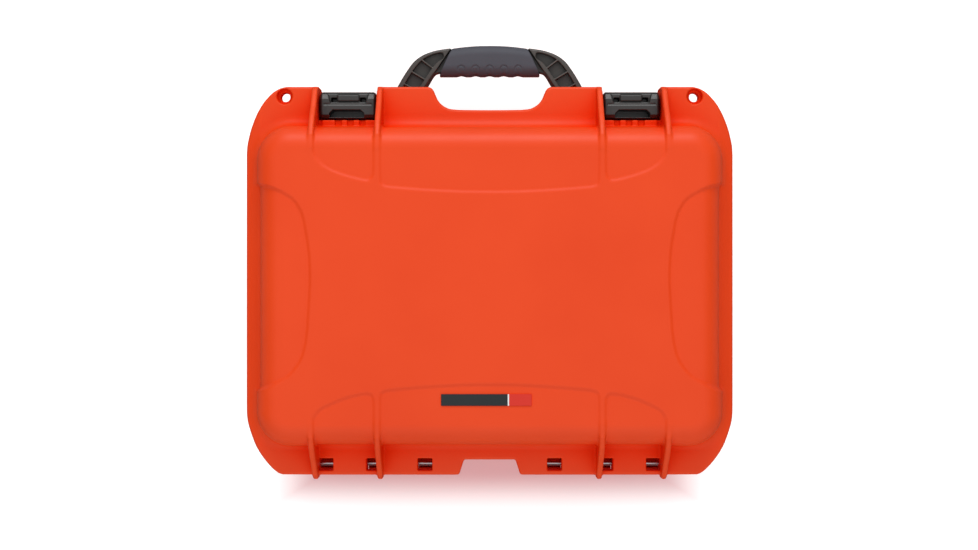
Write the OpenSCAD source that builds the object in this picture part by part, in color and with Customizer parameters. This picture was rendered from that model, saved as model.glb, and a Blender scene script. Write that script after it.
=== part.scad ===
// Hard equipment case: two moulded half shells, hinged at the back on two steel
// pins, with two claw latches and a folding carrying handle at the front.
// The case lies on its base. +Z is up, the handle and latches are at -Y, the hinge
// is at +Y. The origin is the centre of the base's underside. Millimetres.

/* [Shells] */
// Overall length over the flange
case_len = 424; // [416:2:436]
// Height of the closed case
case_h = 173; // [168:1:180]
// Height of the parting plane above the base
part_z = 124; // [122:1:126]
// Wall of the front, back, floor and lid
wall = 4; // [3:0.5:4.5]
// Wall of the two ends
end_wall = 6; // [5:0.5:7]
// Depth of the flange of each shell
flange_t = 11; // [9:0.5:12]
// Radius of the upright corners
corner_r = 26; // [24:1:28]
// Radius where the walls turn into the floor
edge_r = 14; // [10:1:16]
// Radius where the walls turn into the lid face
lid_edge_r = 18; // [14:1:19]
// Inward lean of the lid's walls from foot to top
lid_lean = 3; // [1:0.5:3.5]
// Depth of the sunk panels in the lid face
panel_d = 1.5; // [0.5:0.25:2]
// Depth of the sunk panels in the end walls
end_panel_d = 3; // [1:0.5:3.5]
// Thickness of the bumper ribs
rib_t = 5; // [4:0.5:5]
// Bore of the padlock eyes
padlock_d = 8.2; // [7:0.2:8.6]

/* [Hinge] */
// Diameter of the hinge pins
hinge_pin_d = 4; // [3:0.5:4.5]
// Radial running clearance of the pins
fit = 0.05; // [0.03:0.01:0.09]

/* [Latch] */
// Diameter of the claw pins
claw_pin_d = 5; // [4:0.5:6]
// Diameter of the lever pins
lever_pin_d = 3; // [2:0.5:4]
// Length of the lever below its pin
lever_len = 46; // [42:2:50]

/* [Handle] */
// Diameter of the handle pins
handle_pin_d = 6; // [5:0.5:7]
// Thickness of the handle arms
arm_t = 20; // [16:1:20]
// Thickness of the soft grip
grip_t = 24; // [20:1:24]

/* [Hidden] */
$fn = 48;

half_len = case_len / 2;
box_half = half_len - 12;       // half length of the box part
wall_front = -136;              // outer faces of the box part
wall_back = 140;
flange_front = -170.8;
flange_back = 166.5;
flange_low = part_z - flange_t; // underside of the base's flange
flange_high = part_z + flange_t; // top of the lid's flange
rib_front = -170;
rib_back = 170;                 // rib ends, on which the case can stand
rib_xs = [95, 151];             // centre lines of the ribs
base_top = part_z - 0.2;
lid_foot = part_z + 0.2;
hinge_y = 158.5;
hinge_z = part_z - 5.4;
barrel_r = 5.2;
eye_x = half_len - 33.9;        // padlock eyes
eye_y = -162.3;
eye_sink_r = 6.6;
bay_x0 = 97.5;                  // notch for each latch
bay_x1 = 148.5;
latch_x0 = 98.2;
latch_x1 = 147.8;
claw_y = -150;                  // claw pin
claw_z = 82;
lever_y = -160.5;               // lever pin
lever_z = part_z - 8;
handle_y = -152;                // handle pin
handle_z = 102;
valve_z = 92;

orange = [0.92, 0.30, 0.16];
frame_grey = [0.23, 0.21, 0.2];
grip_grey = [0.34, 0.34, 0.37];
claw_grey = [0.29, 0.29, 0.29];
lever_grey = [0.27, 0.27, 0.27];
slide_grey = [0.2, 0.2, 0.2];
valve_black = [0.15, 0.15, 0.15];
seal_black = [0.1, 0.1, 0.1];
badge_dark = [0.18, 0.2, 0.21];
badge_red = [0.9, 0.26, 0.18];

// ---- helpers -------------------------------------------------------------
function bore_r(pin_d) = pin_d / 2 + fit;

module both() {
  children();
  left() children();
}
module left() mirror([1, 0, 0]) children();
module rod_x(x0, x1, y, z, radius)
  translate([x0, y, z]) rotate([0, 90, 0]) cylinder(h = x1 - x0, r = radius);
module rod_y(y0, y1, x, z, radius)
  translate([x, y1, z]) rotate([90, 0, 0]) cylinder(h = y1 - y0, r = radius);
module box(x0, x1, y0, y1, z0, z1)
  translate([x0, y0, z0]) cube([x1 - x0, y1 - y0, z1 - z0]);
// a profile drawn as [y, z], run along X
module run_x(x0, x1)
  translate([x0, 0, 0]) rotate([90, 0, 90]) linear_extrude(x1 - x0) children();
// an outline drawn as [x, y], run up Z
module plan(z0, z1) translate([0, 0, z0]) linear_extrude(z1 - z0) children();
// points of the +X half, closed with their mirror image
module mirrored_poly(points) polygon(concat(points,
  [for (i = [len(points) - 1:-1:0]) [-points[i][0], points[i][1]]]));

module rounded_rect(half, y0, y1, radius) {
  translate([-half + radius, y0]) square([2 * half - 2 * radius, y1 - y0]);
  translate([-half, y0 + radius]) square([2 * half, y1 - y0 - 2 * radius]);
  for (x = [-half + radius, half - radius], y = [y0 + radius, y1 - radius])
    translate([x, y]) circle(radius);
}
// rounded rectangle as one outline, for the hulls; arcs are [centre x, centre y, start angle]
function rounded_points(half, y0, y1, radius) = [
  for (arc = [[half - radius, y1 - radius, 0], [-half + radius, y1 - radius, 90],
              [-half + radius, y0 + radius, 180], [half - radius, y0 + radius, 270]],
       turn = [0:15:90])
    [arc[0] + radius * cos(arc[2] + turn), arc[1] + radius * sin(arc[2] + turn)]];
// box with round upright corners, z0 to z1, with a round edge at z1 and leaning walls
module bowl(half, y0, y1, corner, z0, z1, edge, lean) {
  slice = 0.2;
  dir = z1 > z0 ? 1 : -1;
  first = lean > 0 ? 0 : 1;
  wall_z = lean > 0 ? z0 + dir * slice : z1 - dir * edge;
  hull() {
    plan(min(z0, wall_z), max(z0, wall_z)) polygon(rounded_points(half, y0, y1, corner));
    for (i = [first:4]) {
      angle = 22.5 * i;
      inset = lean + edge * (1 - cos(angle));
      z = z1 - dir * edge * (1 - sin(angle));
      plan(z - (dir > 0 ? slice : 0), z + (dir > 0 ? 0 : slice))
        polygon(rounded_points(half - inset, y0 + inset, y1 - inset, corner - inset));
    }
  }
}

// ---- parts shared by the shells ------------------------------------------
// flange corners, as [distance in from the end, distance in from the front or back edge]
front_corner = [[34.8, 0], [29, 1.5], [22.5, 5.6], [15, 14],
  [8.4, 25.4], [3.6, 37.6], [0.6, 50], [0, 58]];
back_corner = [[0, 48.5], [3.7, 36.9], [7.9, 26.2], [13, 17.8],
  [18.6, 10.4], [24.2, 4.6], [28.6, 1.2], [33, 0]];
module flange() mirrored_poly(concat(
  [for (p = front_corner) [half_len - p[0], flange_front + p[1]]],
  [for (p = back_corner) [half_len - p[0], flange_back - p[1]]]));

// openings in the middle of the flange's front and back edges
module handle_gap() mirrored_poly([[50.2, flange_front - 5], [50.2, flange_front],
  [48.1, -166.2], [45.5, -159.9], [43.3, -156.8], [40.2, -154.1], [35, -151.5], [25, -150.7]]);
module back_gap() mirrored_poly([[22.6, 152.8], [28, flange_back], [28, flange_back + 8]]);

// the gasket's groove, or the gasket itself with a gap on each side
module gasket_ring(gap) difference() {
  rounded_rect(box_half + 5 - gap, wall_front - 4 + gap, wall_back + 4 - gap,
    corner_r + 3 - gap);
  rounded_rect(box_half + 1.8 + gap, wall_front - 0.8 - gap, wall_back + 0.8 + gap,
    corner_r + gap);
}
module end_panels(z0, z1) both() box(box_half - end_panel_d, box_half + 2, -82, 88, z0, z1);
// bore through the flange with a wider sink
module padlock_eye(bore_z, sink_z, sink_h) {
  translate([eye_x, eye_y, bore_z]) cylinder(h = 30, d = padlock_d);
  translate([eye_x, eye_y, sink_z]) cylinder(h = sink_h, r = eye_sink_r);
}
// pockets in the front flange, inboard and outboard of each latch
module flange_pockets(inboard_end, z0, z1)
  for (span = [[56, inboard_end], [156, 166]]) box(span[0], span[1], -166, -145, z0, z1);

// X spans of the hinge, each side
base_gaps = [[62.5, 80], [107, 122]];     // gaps for the lid's knuckles
knuckles = [[62.9, 79.6], [107.4, 121.6]];
windows = [[50, 62.5], [bay_x0, 107], [136, bay_x1]]; // these show the pin in its trough

// ---- base shell ----------------------------------------------------------
module base_rib(x) run_x(x - rib_t / 2, x + rib_t / 2) {
  polygon([[wall_front + 1, 44], [-144, 50], [-158, 66], [-168, 88],
    [rib_front, 96], [rib_front, base_top], [wall_front + 1, base_top]]);
  polygon([[wall_back - 1, 16], [150, 20], [164, 32], [rib_back, 44],
    [rib_back, 88], [160, 95], [wall_back - 1, 97]]);
}
// upright ribs of the front and back walls
module wall_ribs() {
  for (x = [60, 120, 180])
    box(x - 2, x + 2, wall_back - 1, wall_back + 3, 18, part_z - 12);
  box(176, 180, wall_front - 3, wall_front + 1, 18, part_z - 10);
}
module base_hinge_cuts() {
  slot_y = 152.6;
  for (gap = base_gaps)
    box(gap[0], gap[1], slot_y, rib_back, part_z - 11.5, part_z + 1);
  for (win = windows) {
    box(win[0], win[1], slot_y, rib_back, hinge_z, part_z + 1);
    rod_x(win[0], win[1], hinge_y, hinge_z, barrel_r - 1);
  }
  rod_x(46, 153.5, hinge_y, hinge_z, bore_r(hinge_pin_d));
}
module base_shell() color(orange) difference() {
  union() {
    bowl(box_half, wall_front, wall_back, corner_r, base_top, 0, edge_r, 0);
    // the flange stops at the hinge axis
    intersection() {
      plan(flange_low, base_top) flange();
      box(-half_len, half_len, flange_front, hinge_y, 0, base_top);
    }
    both() {
      rod_x(24, half_len - 29, hinge_y, hinge_z, barrel_r);
      // shelf under the hinge
      box(44, 156, wall_back - 1, 161, part_z - 14.5, part_z - 10.9);
      for (x = rib_xs) base_rib(x);
      wall_ribs();
    }
  }
  bowl(box_half - end_wall, wall_front + wall, wall_back - wall, corner_r - 6,
    part_z + 1, wall, edge_r - 4, 0);
  end_panels(-1, flange_low - 4);
  plan(0, part_z + 1) handle_gap();
  plan(part_z - 20, part_z + 1) back_gap();
  both() {
    box(bay_x0, bay_x1, flange_front - 1, -142.5, flange_low - 4, part_z + 1);
    padlock_eye(part_z - 20, part_z - 20, 15);
    base_hinge_cuts();
    rod_x(88, 154, claw_y, claw_z, bore_r(claw_pin_d));
    rod_x(92, 98, handle_y, handle_z, bore_r(handle_pin_d));
    flange_pockets(90, flange_low - 1, part_z - 4);
  }
  rod_y(wall_front - 2, wall_front + wall + 2, 0, valve_z, valve_r);
}

// ---- lid shell -----------------------------------------------------------
module lid_rib(x) run_x(x - rib_t / 2, x + rib_t / 2) {
  polygon([[rib_front, lid_foot], [rib_front, part_z + 14], [-166, part_z + 19],
    [-152, part_z + 30], [-142, part_z + 39], [-132, case_h - 4], [-120, case_h - 0.6],
    [-108, case_h - 0.6], [-108, case_h - 8], [wall_front + 4, lid_foot]]);
  polygon([[rib_back, part_z + 1.5], [rib_back, part_z + 11], [166, part_z + 17],
    [155, part_z + 28], [146, part_z + 39], [136, case_h - 4], [124, case_h - 0.6],
    [112, case_h - 0.6], [112, case_h - 8], [wall_back - 4, lid_foot],
    [flange_back, lid_foot]]);
}
// outlines of the sunk panels, front one first
module centre_panels() {
  mirrored_poly([[92, -150], [92, -86], [88, -81.6], [60, -79.6], [30, -77.6]]);
  mirrored_poly([[92, 150], [92, 94.4], [88, 90.1], [60, 87.8], [30, 85.6]]);
}
module latch_panels() {
  polygon([[148.6, -150], [148.4, -111], [146.4, -106.3], [141.6, -100.7],
    [133.6, -95.5], [121.5, -91.1], [109.4, -87.9], [102.2, -86.7],
    [99, -89.5], [97.8, -94.2], [97.5, -150]]);
  polygon([[148.6, 150], [148.2, 112.9], [143.1, 106.1], [134.5, 101.9],
    [124.4, 97.5], [111.3, 93.7], [101, 92.5], [98, 95.9], [97.5, 150]]);
}
module side_panel() polygon([[box_half + 2, -85.5], [193.8, -83.2], [176.4, -77.9],
  [164.4, -70.6], [157.1, -58.1], [152, -27.3], [151.3, 3.1], [153.9, 46],
  [158.1, 63.4], [167.7, 76.9], [180.3, 84.1], [192.8, 89], [box_half + 2, 91]]);

module lid_body() difference() {
  bowl(box_half, wall_front, wall_back, corner_r, lid_foot, case_h, lid_edge_r, lid_lean);
  plan(case_h - panel_d, case_h + 1) {
    centre_panels();
    both() {
      latch_panels();
      side_panel();
    }
  }
  end_panels(flange_high + 2, case_h + 1);
}
// blocks that the claw closes against
module catch_blocks()
  for (span = [[98.5, 107.8], [112.7, 118.1], [123.2, 128.4], [133.9, 145.1]])
    box(span[0], span[1], -141.4, wall_front + 1, flange_high - 1, part_z + 15);
module lid_knuckles() for (span = knuckles) {
  rod_x(span[0], span[1], hinge_y, hinge_z, barrel_r);
  box(span[0], span[1], hinge_y - 4.9, hinge_y + 4.9, hinge_z, part_z + 2);
}
module lid_shell() color(orange) difference() {
  union() {
    lid_body();
    plan(lid_foot, flange_high) flange();
    both() {
      for (x = rib_xs) lid_rib(x);
      catch_blocks();
      lid_knuckles();
    }
  }
  bowl(box_half - end_wall, wall_front + wall, wall_back - wall, corner_r - 6,
    part_z - 1, case_h - wall, lid_edge_r - 3, lid_lean);
  plan(part_z - 1, part_z + 3.4) gasket_ring(0);
  plan(part_z - 1, case_h) handle_gap();
  plan(part_z - 1, case_h) back_gap();
  both() {
    box(bay_x0, bay_x1, flange_front - 1, -141.8, part_z - 1, flange_high + 1);
    padlock_eye(part_z - 1, part_z + 5, 20);
    for (win = windows) box(win[0], win[1], 152, 162.5, part_z - 1, flange_high + 1);
    rod_x(46, 155, hinge_y, hinge_z, bore_r(hinge_pin_d));
    flange_pockets(88, part_z - 1, part_z + 7);
  }
}

module lid_gasket() color("dimgray") plan(part_z - 0.15, part_z + 3.3) gasket_ring(0.05);

module hinge_pin() color("silver") rod_x(46.4, 153, hinge_y, hinge_z, hinge_pin_d / 2);

// ---- handle --------------------------------------------------------------
core_t = 13;      // bar inside the grip: height, front face and depth in Y
core_y = -204;
core_w = 15;
grip_gap = 0.05;
// pockets in the arms, as [[outer edge ends], [inner edge ends]]
arm_pockets = [
  [[[44.5, -203.6], [59.4, -199]], [[42.4, -196.8], [50.2, -190.2]]],
  [[[61.5, -197.6], [68.6, -188.2]], [[52, -187.9], [56.4, -180.6]]],
  [[[70, -186], [78.2, -172]], [[57.8, -178.2], [64.4, -167]]]];
pocket_d = 6;

module arm_outline() polygon([[45, -188], [49.6, -184.2], [56.6, -173.8], [64, -161],
  [69, -152], [69, -144], [91.6, -144], [91.6, -153], [88, -161], [82.3, -173.4],
  [75.1, -185.7], [67.8, -196.5], [62.8, -200.6], [56.6, -203.6], [48, -206],
  [37.8, -207.3], [30, -208], [30, -190]]);
function along(ends, t) = ends[0] + t * (ends[1] - ends[0]);
module arm_pocket(outer, inner) polygon(concat(
  [for (t = [0:0.25:1]) along(outer, t)], [for (t = [1:-0.25:0]) along(inner, t)]));
module core_bar(half, gap)
  plan(handle_z - core_t / 2 - gap, handle_z + core_t / 2 + gap)
    translate([-half, core_y - gap]) square([2 * half, core_w + 2 * gap]);
module grip_outline(gap) mirrored_poly([[44.7 + gap, -184 + gap],
  [33.4 + gap, -208.5 - gap], [20.4, -210.1 - gap], [6, -211 - gap]]);

module handle_frame() color(frame_grey) difference() {
  union() {
    both() {
      // each arm ends in a round boss on the pin
      plan(handle_z - arm_t / 2, handle_z + arm_t / 2) intersection() {
        arm_outline();
        translate([0, -250]) square([100, 98.4]);
      }
      rod_x(69, 91.6, handle_y, handle_z, arm_t / 2);
    }
    core_bar(40, 0);
  }
  both() {
    for (z = [handle_z - arm_t / 2 - 1, handle_z + arm_t / 2 - pocket_d])
      plan(z, z + pocket_d + 1) for (pocket = arm_pockets) arm_pocket(pocket[0], pocket[1]);
    rod_x(60, 95, handle_y, handle_z, bore_r(handle_pin_d));
  }
  // bed of the soft grip
  difference() {
    plan(handle_z - 20, handle_z + 20) grip_outline(grip_gap);
    core_bar(60, 0);
  }
}
module handle_grip() color(grip_grey) difference() {
  plan(handle_z - grip_t / 2, handle_z + grip_t / 2) grip_outline(0);
  core_bar(60, grip_gap);
  // finger hollows
  for (i = [-2:2]) translate([i * 12.6, -181, handle_z - 20]) cylinder(h = 40, r = 4.4);
}
module handle_pin() color("silver") rod_x(72, 97.4, handle_y, handle_z, handle_pin_d / 2);

// ---- latches -------------------------------------------------------------
slide_z = lever_z - 30; // middle of the lock slide
track_x0 = 111;
track_x1 = 135;

module claw_solid() {
  rod_x(latch_x0, latch_x1, claw_y, claw_z, 6);
  run_x(latch_x0, latch_x1)
    polygon([[-155.3, claw_z], [-155.3, part_z + 4], [-148.5, part_z + 4], [-145, claw_z]]);
  // head that reaches over the flange of the lid
  run_x(latch_x0, latch_x1) polygon([[-164.4, part_z + 2], [-165.4, part_z + 4],
    [-165.4, part_z + 10], [-163, part_z + 14], [-157, part_z + 16], [-146, part_z + 16],
    [-143, part_z + 13.4], [-142, part_z + 9], [-142, part_z + 0.8], [-147, part_z + 0.8],
    [-148.6, part_z - 1], [-156, part_z - 1], [-157, part_z + 2]]);
  // cheeks that carry the lever
  for (span = [[latch_x0, 102.6], [143.4, latch_x1]])
    run_x(span[0], span[1]) polygon([[-155, lever_z - 10], [-161, lever_z - 5.4],
      [-165, lever_z - 2], [-165, lever_z + 11], [-155, lever_z + 11]]);
}
module latch_claw() color(claw_grey) difference() {
  claw_solid();
  rod_x(90, 160, claw_y, claw_z, bore_r(claw_pin_d));
  rod_x(99.6, 146.4, lever_y, lever_z, bore_r(lever_pin_d));
  // sunk well and two pockets in the head
  box(108.7, 138.6, -149.6, -144, part_z + 4, part_z + 18);
  for (x = [109.8, 134.9]) box(x - 2.6, x + 2.6, -160, -156.2, part_z + 8, part_z + 18);
  // opening behind the lever
  box(108, 138, -160, -140, claw_z + 10, part_z - 12);
}
module claw_pin() color("silver") rod_x(92.6, 153.4, claw_y, claw_z, claw_pin_d / 2);

module lever_solid() {
  tip_z = lever_z - lever_len;
  rod_x(103, 143, lever_y, lever_z, 4);
  // neck from the pin down to the blade
  run_x(103, 143) polygon([[-164.3, lever_z], [-166.9, lever_z - 8], [-166.9, lever_z - 13],
    [-163, lever_z - 13], [-162.5, lever_z - 9], [-158, lever_z - 1]]);
  run_x(98.7, 147.3) polygon([[-163.2, lever_z - 9.5], [-166.2, lever_z - 8.5],
    [-167.2, lever_z - 14], [-167.2, tip_z + 6], [-169.4, tip_z + 1], [-169.4, tip_z - 1],
    [-166, tip_z], [-162.6, tip_z + 6], [-162.6, lever_z - 12]]);
}
module latch_lever() color(lever_grey) difference() {
  lever_solid();
  rod_x(90, 160, lever_y, lever_z, bore_r(lever_pin_d));
  // track of the lock slide
  box(track_x0, track_x1, -168, -165.2, slide_z - 5, slide_z + 5);
  box(track_x0, track_x1, -165.3, -160, slide_z - 3, slide_z + 3);
}
module lever_pin() color("silver") rod_x(99.8, 146.2, lever_y, lever_z, lever_pin_d / 2);

// front button, neck through the track and back plate, with grooves in the button
module lock_slide() color(slide_grey) difference() {
  union() {
    box(111.3, 123.3, -167.6, -165.25, slide_z - 4.9, slide_z + 4.9);
    box(112, 122.6, -165.3, -162.3, slide_z - 2.9, slide_z + 2.9);
    box(112, 122.6, -162.35, -161, slide_z - 5, slide_z + 5);
  }
  for (i = [0:3])
    box(113.5 + 2.4 * i, 114.5 + 2.4 * i, -168, -167, slide_z - 3.5, slide_z + 3.5);
}

// ---- pressure valve ------------------------------------------------------
valve_r = 8;     // hole in the front wall
chamber_r = 5;   // hollow in the inner end of the stem

// round holes along Y, spread on a circle about the valve axis
module vent_holes(y0, y1, step, ring_r, hole_r)
  for (a = [0:step:360 - step])
    rod_y(y0, y1, ring_r * cos(a), valve_z + ring_r * sin(a), hole_r);

module valve_body() color(valve_black) difference() {
  union() {
    rod_y(wall_front - 4.5, wall_front - 1.55, 0, valve_z, 12);
    rod_y(wall_front - 2, wall_front + 11, 0, valve_z, valve_r - 0.1);
  }
  rod_y(wall_front + 2, wall_front + 12, 0, valve_z, chamber_r);
  vent_holes(wall_front - 5, wall_front + 3, 90, 2.4, 0.9);
}
module valve_cap() color(valve_black) difference() {
  rod_y(wall_front - 7, wall_front - 4.55, 0, valve_z, 10.5);
  rod_y(wall_front - 5.6, wall_front - 4, 0, valve_z, 8);
  vent_holes(wall_front - 8, wall_front - 5, 60, 6, 1);
}
module valve_membrane() color("white")
  rod_y(wall_front + 2.05, wall_front + 2.5, 0, valve_z, chamber_r - 0.05);
module valve_seal() color(seal_black) difference() {
  rod_y(wall_front - 1.5, wall_front - 0.05, 0, valve_z, 11);
  rod_y(wall_front - 3, wall_front + 1, 0, valve_z, valve_r);
}
module valve_nut() color(valve_black) difference() {
  translate([0, wall_front + 9, valve_z]) rotate([90, 0, 0])
    cylinder(h = 9 - wall - 0.05, r = 12, $fn = 6);
  rod_y(wall_front, wall_front + 12, 0, valve_z, valve_r - 0.05);
}

// ---- badge, in the back centre panel -------------------------------------
badge_x0 = -35.4;
badge_x1 = 41;
badge_y0 = 92.9;
badge_y1 = 102.9;
split_x = -15.7;           // between the accent and the raised plate
panel_z = case_h - panel_d;

module badge_plate() color(badge_dark) union() {
  box(badge_x0, badge_x1, badge_y0, badge_y1, panel_z + 0.02, panel_z + 0.5);
  box(split_x + 0.4, badge_x1, badge_y0, badge_y1, panel_z + 0.4, panel_z + 1.1);
}
module badge_accent() color(badge_red)
  box(badge_x0, split_x - 0.4, badge_y0, badge_y1, panel_z + 0.52, panel_z + 1.1);

base_shell();
lid_shell();
lid_gasket();
left() hinge_pin();  // hinge_pin_left
hinge_pin();  // hinge_pin_right
handle_frame();
handle_grip();
left() handle_pin();  // handle_pin_left
handle_pin();  // handle_pin_right
left() latch_claw();  // latch_claw_left
latch_claw();  // latch_claw_right
left() claw_pin();  // claw_pin_left
claw_pin();  // claw_pin_right
left() latch_lever();  // latch_lever_left
latch_lever();  // latch_lever_right
left() lever_pin();  // lever_pin_left
lever_pin();  // lever_pin_right
left() lock_slide();  // lock_slide_left
lock_slide();  // lock_slide_right
valve_body();
valve_cap();
valve_membrane();
valve_seal();
valve_nut();
badge_plate();
badge_accent();
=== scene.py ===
"""An orange hard case, lying closed with its lid up.

The case is symmetric about x = 0. The latches and the handle are at the front (-Y), the
hinge is at the back (+Y), and "right" is +X. z = 0 is the underside of the base.
The pieces are distance fields in millimetres, meshed by surface nets and written in metres.
Floor, light and camera are in metres.
"""
import math
import bpy
import numpy as np
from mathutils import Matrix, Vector


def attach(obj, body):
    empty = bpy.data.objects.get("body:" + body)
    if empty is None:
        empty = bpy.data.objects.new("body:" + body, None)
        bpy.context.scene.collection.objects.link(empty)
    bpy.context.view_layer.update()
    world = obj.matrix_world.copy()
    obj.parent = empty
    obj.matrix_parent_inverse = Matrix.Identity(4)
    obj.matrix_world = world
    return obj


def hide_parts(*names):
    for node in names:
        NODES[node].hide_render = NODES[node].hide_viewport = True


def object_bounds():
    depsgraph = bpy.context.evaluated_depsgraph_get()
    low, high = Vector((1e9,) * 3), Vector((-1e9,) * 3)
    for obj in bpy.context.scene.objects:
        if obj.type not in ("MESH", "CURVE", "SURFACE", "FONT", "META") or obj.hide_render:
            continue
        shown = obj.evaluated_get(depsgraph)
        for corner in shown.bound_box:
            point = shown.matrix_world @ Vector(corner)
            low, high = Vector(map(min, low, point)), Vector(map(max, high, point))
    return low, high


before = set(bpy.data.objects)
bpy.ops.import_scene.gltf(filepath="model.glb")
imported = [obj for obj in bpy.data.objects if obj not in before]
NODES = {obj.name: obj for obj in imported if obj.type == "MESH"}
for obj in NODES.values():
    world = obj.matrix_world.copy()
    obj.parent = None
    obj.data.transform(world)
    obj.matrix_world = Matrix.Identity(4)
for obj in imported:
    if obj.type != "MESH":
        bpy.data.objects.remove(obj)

CAD_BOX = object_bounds()


# ---------------------------------------------------------------- distance fields (mm)
def join(first, second, radius):
    """Union with a fillet."""
    near = np.maximum(radius - np.abs(first - second), 0) / radius
    return np.minimum(first, second) - near * near * radius * 0.25


def meet(first, second, radius):
    """Intersection with a rounded edge."""
    return -join(-first, -second, radius)


def cut(solid, tool, radius):
    return meet(solid, -tool, radius)


def fade(start, end, value):
    """Smoothstep from 0 at start to 1 at end; start may be the larger."""
    share = np.clip((value - start) / (end - start), 0, 1)
    return share * share * (3 - 2 * share)


def span(x, low, high):
    return np.abs(x - (low + high) / 2) - (high - low) / 2


def rounded(first, second, radius):
    """Two perpendicular distances, each already grown by radius, met in a round corner."""
    outside = np.hypot(np.maximum(first, 0), np.maximum(second, 0))
    return outside + np.minimum(np.maximum(first, second), 0) - radius


def box(x, y, z, x0, x1, y0, y1, z0, z1, radius):
    across = span(x, x0, x1) + radius
    along = span(y, y0, y1) + radius
    up = span(z, z0, z1) + radius
    outside = np.sqrt(
        np.maximum(across, 0) ** 2 + np.maximum(along, 0) ** 2 + np.maximum(up, 0) ** 2)
    return outside + np.minimum(np.maximum(np.maximum(across, along), up), 0) - radius


def round_rect(x, y, half, y0, y1, radius):
    return rounded(np.abs(x) - half + radius, span(y, y0, y1) + radius, radius)


def extrude(outline, z, z0, z1, radius):
    """A 2-D distance run from z0 to z1 along any axis, with edges of the given radius."""
    return rounded(outline + radius, span(z, z0, z1) + radius, radius)


def polygon(x, y, points):
    """Exact signed distance to a closed polygon."""
    nearest = np.full(x.shape, 1e9)
    inside = np.zeros(x.shape, bool)
    for i, (ax, ay) in enumerate(points):
        bx, by = points[(i + 1) % len(points)]
        run, rise = bx - ax, by - ay
        from_x, from_y = x - ax, y - ay
        share = np.clip((from_x * run + from_y * rise) / (run * run + rise * rise), 0, 1)
        nearest = np.minimum(nearest, (from_x - run * share) ** 2 + (from_y - rise * share) ** 2)
        if ay != by:
            inside ^= ((ay > y) != (by > y)) & (x < run * (y - ay) / rise + ax)
    nearest = np.sqrt(nearest)
    return np.where(inside, -nearest, nearest)


def capsule(x, y, start, end, radius):
    run, rise = end[0] - start[0], end[1] - start[1]
    share = ((x - start[0]) * run + (y - start[1]) * rise) / (run * run + rise * rise)
    share = np.clip(share, 0, 1)
    return np.hypot(x - start[0] - run * share, y - start[1] - rise * share) - radius


def rod(x, y, centre, radius):
    return np.hypot(x - centre[0], y - centre[1]) - radius


def soften(points, keep=()):
    """One round of corner cutting, leaving the corners numbered in keep sharp."""
    result = []
    for i, point in enumerate(points):
        if i in keep:
            result.append(point)
            continue
        for other in (points[i - 1], points[(i + 1) % len(points)]):
            result.append((point[0] * 0.8 + other[0] * 0.2, point[1] * 0.8 + other[1] * 0.2))
    return result


class Lookup:
    """A 2-D function, sampled once and read back by bilinear interpolation."""

    def __init__(self, function, x0=-4, x1=218, y0=-178, y1=178, pitch=0.5):
        columns, rows = np.arange(x0, x1 + pitch, pitch), np.arange(y0, y1 + pitch, pitch)
        self.table = function(*np.meshgrid(columns, rows, indexing="ij"))
        self.x0, self.y0, self.pitch = x0, y0, pitch

    def __call__(self, x, y):
        table = self.table
        column = np.clip((x - self.x0) / self.pitch, 0, table.shape[0] - 1.001)
        row = np.clip((y - self.y0) / self.pitch, 0, table.shape[1] - 1.001)
        i, j = column.astype(np.int32), row.astype(np.int32)
        across, along = column - i, row - j
        near = table[i, j] * (1 - across) + table[i + 1, j] * across
        far = table[i, j + 1] * (1 - across) + table[i + 1, j + 1] * across
        return near * (1 - along) + far * along


def outline_lookup(points, x0, x1, y0, y1):
    return Lookup(lambda x, y: polygon(x, y, points), x0, x1, y0, y1, pitch=0.25)


# ---------------------------------------------------------------- fields to meshes
BLOCK = 8  # grid points along the side of a sampling block


def sample(field, low, high, cell):
    """The field on a grid, worked out in full only in the blocks near the surface."""
    low = np.array(low, float)
    count = np.ceil((np.array(high) - low) / cell / BLOCK).astype(int)
    axes = [low[k] + cell * (np.arange(count[k]) * BLOCK + (BLOCK - 1) / 2) for k in range(3)]
    centres = np.meshgrid(*axes, indexing="ij")
    coarse = field(*(c.ravel() for c in centres)).reshape(count)
    values = coarse
    for k in range(3):
        values = np.repeat(values, BLOCK, k)
    values = values.astype(np.float32)
    # half a block's diagonal, with a margin for fields that are not true distances
    near = np.argwhere(np.abs(coarse) < cell * BLOCK * 0.87 * 1.35 + 1.5)
    steps = np.arange(BLOCK)
    offsets = np.stack(np.meshgrid(steps, steps, steps, indexing="ij"), -1).reshape(-1, 3)
    batch = 1200
    for start in range(0, len(near), batch):
        index = (near[start:start + batch, None, :] * BLOCK + offsets[None]).reshape(-1, 3)
        points = low + index * cell
        values[tuple(index.T)] = field(points[:, 0], points[:, 1], points[:, 2])
    return values, low


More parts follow.
